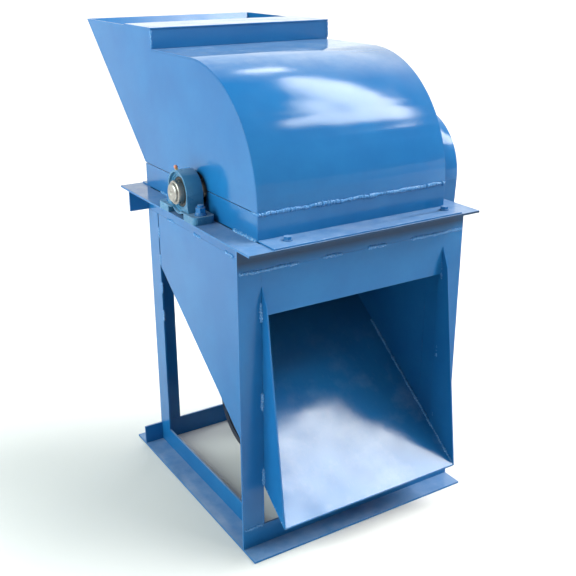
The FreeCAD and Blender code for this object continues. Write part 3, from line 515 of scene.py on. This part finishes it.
def make_chute_welds():
    leg_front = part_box("leg_front_left")[0].y
    heel_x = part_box("body_front_panel")[1].x
    lip_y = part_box("chute_floor")[0].y
    inner_x = heel_x - CHEEK_THICKNESS
    corner = [(-inner_x, y, CHUTE_LIP_Z + CHUTE_SLOPE * (y - lip_y)) for y in (lip_y + 0.006, -0.02)]
    bead_piece("weld_chute_corners", "frame", side_mirror([(corner, 0.0085, 0.0040, (1, -0.6, 0.8))]))

    tab_x = -heel_x - 0.001
    reach = CHEEK_TAB / 2
    tabs = [([(tab_x, leg_front, z + reach), (tab_x, leg_front, z - reach)], 0.012, 0.0045, (-1, -1, 0))
            for z in CHEEK_TAB_Z]
    bead_piece("weld_cheek_tabs", "frame", side_mirror(tabs))


make_hood_welds()
make_stand_welds()
make_chute_welds()


# ---- Turned parts: seals, nipples, screws, gland and eye bolt ---------------------------------
def turned_rings(work, profile, centre, axis, sides):
    """Rings of vertices round an axis, one for each (distance along the axis, radius)."""
    centre, axis = Vector(centre), Vector(axis).normalized()
    u = axis.orthogonal().normalized()
    v = axis.cross(u)
    rings = []
    for along, radius in profile:
        ring = []
        for j in range(sides):
            angle = 2 * math.pi * j / sides
            arm = (u * math.cos(angle) + v * math.sin(angle)) * radius
            ring.append(work.verts.new(centre + axis * along + arm))
        rings.append(ring)
    return rings


TIP_RADIUS = 0.00002         # stands in for zero, so that the end faces keep their corners apart


def lathe(work, profile, centre, axis, sides):
    """Add a solid of revolution. profile lists (distance along the axis, radius)."""
    blunt = [(along, max(radius, TIP_RADIUS)) for along, radius in profile]
    rings = turned_rings(work, blunt, centre, axis, sides)
    join_rings(work, rings)
    close_ends(work, rings)


def lathe_piece(name, body, slot, look, parts):
    """One flat-shaded mesh of several turned parts. A part is (profile, centre, axis, sides)."""
    work = bmesh.new()
    for part in parts:
        lathe(work, *part)
    mesh = mesh_of(work, name)
    add_piece(name, mesh, body, slot, look)
    for polygon in mesh.polygons:
        polygon.use_smooth = False


def lathe_open(name, body, slot, look, parts):
    """One mesh of turned rings, whose closed section leaves the axis free."""
    work = bmesh.new()
    for section, centre, axis, sides in parts:
        rings = turned_rings(work, section, centre, axis, sides)
        join_rings(work, rings + rings[:1])
    add_piece(name, mesh_of(work, name), body, slot, look)


def socket_screw(radius, height, socket):
    """Screw head with a round socket in its top."""
    return [(0, 0), (0, radius), (height * 0.85, radius), (height, radius * 0.85),
            (height, socket), (height * 0.4, socket), (height * 0.4, 0)]


def cap_screw(across, height):
    """Hexagon head, slightly tapered, with a chamfered top."""
    return [(0, 0), (0, across * 0.62), (height * 0.7, across * 0.58), (height, across * 0.48),
            (height, 0)]


SEAL_OUTER_R = 0.0397
SEAL_FACE = 0.0125           # from the middle of the block to the seal
NIPPLE = [(0, 0), (0, 0.0045), (0.005, 0.0045), (0.006, 0.003), (0.009, 0.0028), (0.010, 0.0)]
NIPPLE_LEAN = (0.42, 0.90)   # direction from the shaft, in Y and Z
NIPPLE_ROOT = 0.0568         # distance of its root from the shaft axis
NIPPLE_SHIFT = 0.010         # its root, outward from the middle of the block
NIPPLE_CAP = [(0, 0), (0, 0.0048), (0.004, 0.0050), (0.0075, 0.0036), (0.0085, 0.0)]
NIPPLE_CAP_LIFT = 0.0062
SET_SCREW_IN = 0.009         # from the outer end of the inner ring
SET_SCREW_R = 0.0272
SET_SCREW_TILTS = (75.0, -45.0)


def make_bearing_details():
    low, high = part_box("bearing_housing_left")
    shaft_low, shaft_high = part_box("rotor_shaft")
    axis_z = (shaft_low.z + shaft_high.z) / 2
    block_x = abs(low.x + high.x) / 2
    ring_low, ring_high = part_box("bearing_inner_rings")
    seal_in = (ring_high.z - ring_low.z) / 2 + 0.0004
    seal = [(0, seal_in), (0.0018, seal_in + 0.001), (0.0022, (seal_in + SEAL_OUTER_R) / 2),
            (0.0012, SEAL_OUTER_R - 0.0012), (0.0004, SEAL_OUTER_R), (0.0, SEAL_OUTER_R)]
    seals, nipples, caps, screws = [], [], [], []
    for side in (-1, 1):
        for facing in (-1, 1):
            seals.append((seal, (side * block_x + facing * SEAL_FACE, 0, axis_z), (facing, 0, 0), 40))
        lean = Vector((side * 0.12, *NIPPLE_LEAN)).normalized()
        outward = Vector((0, *NIPPLE_LEAN)).normalized()
        root = Vector((side * (block_x + NIPPLE_SHIFT), 0, axis_z)) + outward * NIPPLE_ROOT
        nipples.append((NIPPLE, root, lean, 6))
        caps.append((NIPPLE_CAP, root + lean * NIPPLE_CAP_LIFT, lean, 16))
        screw_x = side * (max(ring_high.x, -ring_low.x) - SET_SCREW_IN)
        for tilt in SET_SCREW_TILTS:
            out = Vector((0, -math.cos(math.radians(tilt)), math.sin(math.radians(tilt))))
            screws.append((socket_screw(0.0033, 0.0034, 0.0018),
                           Vector((screw_x, 0, axis_z)) + out * SET_SCREW_R, out, 12))
    lathe_open("bearing_seals", "frame", "belt_rubber", "seal_rubber", seals)
    lathe_piece("grease_nipples", "frame", "zinc_steel", "brass", nipples)
    lathe_piece("grease_caps", "frame", "fan_plastic", "cap_plastic", caps)
    lathe_piece("bearing_set_screws", "rotor", "turned_steel", "forged_steel", screws)


MOTOR_Y = 0.028
LID_SCREW_X = (0.122, 0.234)
LID_SCREW_Z = (0.196, 0.298)
GLAND = [(0, 0), (0, 0.017), (0.010, 0.017), (0.011, 0.014), (0.022, 0.014), (0.026, 0.010),
         (0.026, 0)]
GLAND_X = 0.178
GLAND_Z = 0.194
GLAND_IN = 0.046             # from the lid of the terminal box
EYE_X = 0.115
EYE_SUNK = 0.004
EYE_COLLAR = [(0, 0), (0, 0.016), (0.004, 0.016), (0.007, 0.010), (0.010, 0.007), (0.010, 0)]
EYE_HEIGHT = 0.024           # centre of the eye above the motor
EYE_R = 0.017
EYE_WIRE_R = 0.0055
EYE_SEGMENTS = 24
EYE_WIRE_SIDES = 10


def add_eye(work, centre):
    """A closed wire ring standing in the XZ plane."""
    centre = Vector(centre)
    loops = []
    for k in range(EYE_SEGMENTS):
        turn = 2 * math.pi * k / EYE_SEGMENTS
        out = Vector((math.sin(turn), 0, -math.cos(turn)))
        loop = []
        for j in range(EYE_WIRE_SIDES):
            angle = 2 * math.pi * j / EYE_WIRE_SIDES
            arm = out * math.cos(angle) + Vector(REAR) * math.sin(angle)
            loop.append(work.verts.new(centre + out * EYE_R + arm * EYE_WIRE_R))
        loops.append(loop)
    join_rings(work, loops + loops[:1])


def make_motor_details():
    motor_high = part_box("motor_housing")[1]
    lid_y, motor_top = motor_high.y, motor_high.z
    screws = [(cap_screw(0.008, 0.005), (x, lid_y, z), REAR, 6)
              for x in LID_SCREW_X for z in LID_SCREW_Z]
    lathe_piece("terminal_box_screws", "frame", "zinc_steel", "zinc_steel", screws)
    gland_place = (GLAND_X, lid_y - GLAND_IN, GLAND_Z)
    lathe_piece("cable_gland", "frame", "fan_plastic", "fan_plastic", [(GLAND, gland_place, DOWN, 6)])
    work = bmesh.new()
    lathe(work, EYE_COLLAR, (EYE_X, MOTOR_Y, motor_top - EYE_SUNK), UP, 20)
    add_eye(work, (EYE_X, MOTOR_Y, motor_top + EYE_HEIGHT))
    add_piece("motor_eye_bolt", mesh_of(work, "motor_eye_bolt"), "frame", "zinc_steel")


# Round ends of the belt guard: (y, z, radius), the upper one round the rotor pulley.
GUARD_TOP = (-0.021, 0.895, 0.172)
GUARD_LOW = (MOTOR_Y, 0.214, 0.184)
GUARD_SCREW_INSET = 0.008
TOP_SCREW_ANGLES = (10, 55, 90, 125, 170)
LOW_SCREW_ANGLES = (190, 235, 270, 305, 350)
SIDE_SCREW_Z = (0.42, 0.66)


def make_guard_screws():
    spots = []
    for (centre_y, centre_z, radius), angles in ((GUARD_TOP, TOP_SCREW_ANGLES),
                                                 (GUARD_LOW, LOW_SCREW_ANGLES)):
        reach = radius - GUARD_SCREW_INSET
        for angle in angles:
            a = math.radians(angle)
            spots.append((centre_y + reach * math.cos(a), centre_z + reach * math.sin(a)))
    (top_y, top_z, top_r), (low_y, low_z, low_r) = GUARD_TOP, GUARD_LOW
    for side in (-1, 1):
        for z in SIDE_SCREW_Z:
            share = (z - low_z) / (top_z - low_z)
            middle = low_y + share * (top_y - low_y)
            half = low_r + share * (top_r - low_r)
            spots.append((middle + side * (half - GUARD_SCREW_INSET), z))
    face_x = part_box("belt_guard_cover")[1].x
    screws = [(cap_screw(0.007, 0.005), (face_x, y, z), RIGHT, 6) for y, z in spots]
    lathe_piece("guard_screws", "frame", "zinc_steel", "zinc_steel", screws)


make_bearing_details()
make_motor_details()
make_guard_screws()


# ---- Floor and light --------------------------------------------------------------------------
FLOOR_HALF = 60.0
FLOOR_DARK, FLOOR_LIGHT = (0.60, 0.60, 0.60), (0.64, 0.64, 0.64)


def make_floor():
    mesh = bpy.data.meshes.new("floor")
    corners = [(x * FLOOR_HALF, y * FLOOR_HALF, 0) for x, y in ((-1, -1), (1, -1), (1, 1), (-1, 1))]
    mesh.from_pydata(corners, [], [(0, 1, 2, 3)])
    floor = bpy.data.objects.new("floor", mesh)
    scene.collection.objects.link(floor)
    s = Shader("floor")
    s.link(s.mix(s.noise(1.5, 4.0), FLOOR_DARK, FLOOR_LIGHT), s.surface.inputs["Base Color"])
    s.set(Roughness=0.9)
    mesh.materials.append(s.material)


# Bright cloth-like patches overhead: (direction, angular radius in degrees). They form a broad
# sheet, a narrow one in front of it, a piece between them and a scrap behind.
PATCHES = (((0.48, 0.13, 0.87), 4.5), ((0.54, 0.04, 0.84), 9.0), ((0.60, -0.04, 0.80), 11.0),
           ((0.66, -0.11, 0.74), 10.0), ((0.73, -0.19, 0.66), 9.0), ((0.80, -0.22, 0.56), 8.0),
           ((0.36, -0.58, 0.73), 4.5), ((0.43, -0.54, 0.72), 5.0), ((0.50, -0.49, 0.71), 6.0),
           ((0.57, -0.44, 0.70), 7.0), ((0.64, -0.38, 0.67), 6.0), ((0.71, -0.34, 0.62), 5.5),
           ((0.50, -0.31, 0.81), 6.5),
           ((0.34, 0.34, 0.88), 3.0), ((0.39, 0.36, 0.85), 3.0), ((0.44, 0.38, 0.81), 2.5))
PATCH_EDGE = (0.35, 1.00)    # from full light to none, in radii less the fold depth
PATCH_LIGHT = 16.5
SKY_LIGHT = 0.27
SKY_COLOUR = (0.99, 1.0, 0.97, 1.0)
FOLD_SCALE = 11.0
FOLD_STRETCH = (0.45, 1.0, 1.0)
FOLD_DEPTH = 0.6
# Soft wide glows: (direction, cosine where the glow starts, added light).
GLOWS = (((0.40, 0.85, 0.25), 0.45, 1.1), ((0.10, -0.80, 0.60), 0.40, 0.34))


def make_world():
    """A studio sky: soft all round, brighter behind and in front, with patches for the gloss."""
    world = bpy.data.worlds.new("studio")
    scene.world = world
    world.use_nodes = True
    sky = Nodes(world.node_tree)
    coords = sky.node("ShaderNodeTexCoord").outputs["Generated"]

    def cosine_to(direction):
        aim = sky.node("ShaderNodeVectorMath", operation="DOT_PRODUCT")
        aim.inputs[1].default_value = Vector(direction).normalized()
        sky.link(coords, aim.inputs[0])
        return aim.outputs["Value"]

    distance = None
    for direction, radius in PATCHES:
        angle = sky.math("ARCCOSINE", cosine_to(direction), 0.0)
        reach = sky.math("DIVIDE", angle, math.radians(radius))
        distance = sky.math("MINIMUM", distance, reach) if distance else reach
    stretch = sky.node("ShaderNodeMapping", Scale=FOLD_STRETCH)
    sky.link(coords, stretch.inputs["Vector"])
    folds = sky.node("ShaderNodeTexNoise", Scale=FOLD_SCALE, Detail=6.0, Roughness=0.55)
    sky.link(stretch.outputs["Vector"], folds.inputs["Vector"])
    ragged = sky.math("SUBTRACT", distance, sky.math("MULTIPLY", folds.outputs["Fac"], FOLD_DEPTH))
    total = sky.ramp(ragged, *PATCH_EDGE, PATCH_LIGHT, SKY_LIGHT, "SMOOTHSTEP")
    for direction, spread, strength in GLOWS:
        glow = sky.ramp(cosine_to(direction), spread, 1.0, 0.0, strength, "SMOOTHSTEP")
        total = sky.math("ADD", total, glow)
    back = sky.tree.nodes["Background"]
    sky.link(total, back.inputs["Strength"])
    back.inputs["Color"].default_value = SKY_COLOUR


KEY_PLACE = (-3.2, 0.4, 2.2)
KEY_AIM = (0, 0, 0.6)
KEY_SIZE = (2.4, 2.4)
KEY_POWER = 145.0
KEY_COLOUR = (0.86, 1.0, 0.95)


def area_light(name, place, aim, size, power, colour):
    light = bpy.data.lights.new(name, "AREA")
    light.color = colour
    light.shape = "RECTANGLE"
    light.size, light.size_y = size
    light.energy = power
    lamp = bpy.data.objects.new(name, light)
    scene.collection.objects.link(lamp)
    lamp.location = place
    lamp.rotation_mode = "QUATERNION"
    lamp.rotation_quaternion = (Vector(aim) - Vector(place)).to_track_quat("-Z", "Y")


make_floor()
make_world()
area_light("key_left", KEY_PLACE, KEY_AIM, KEY_SIZE, KEY_POWER, KEY_COLOUR)
scene.view_settings.view_transform = "Standard"
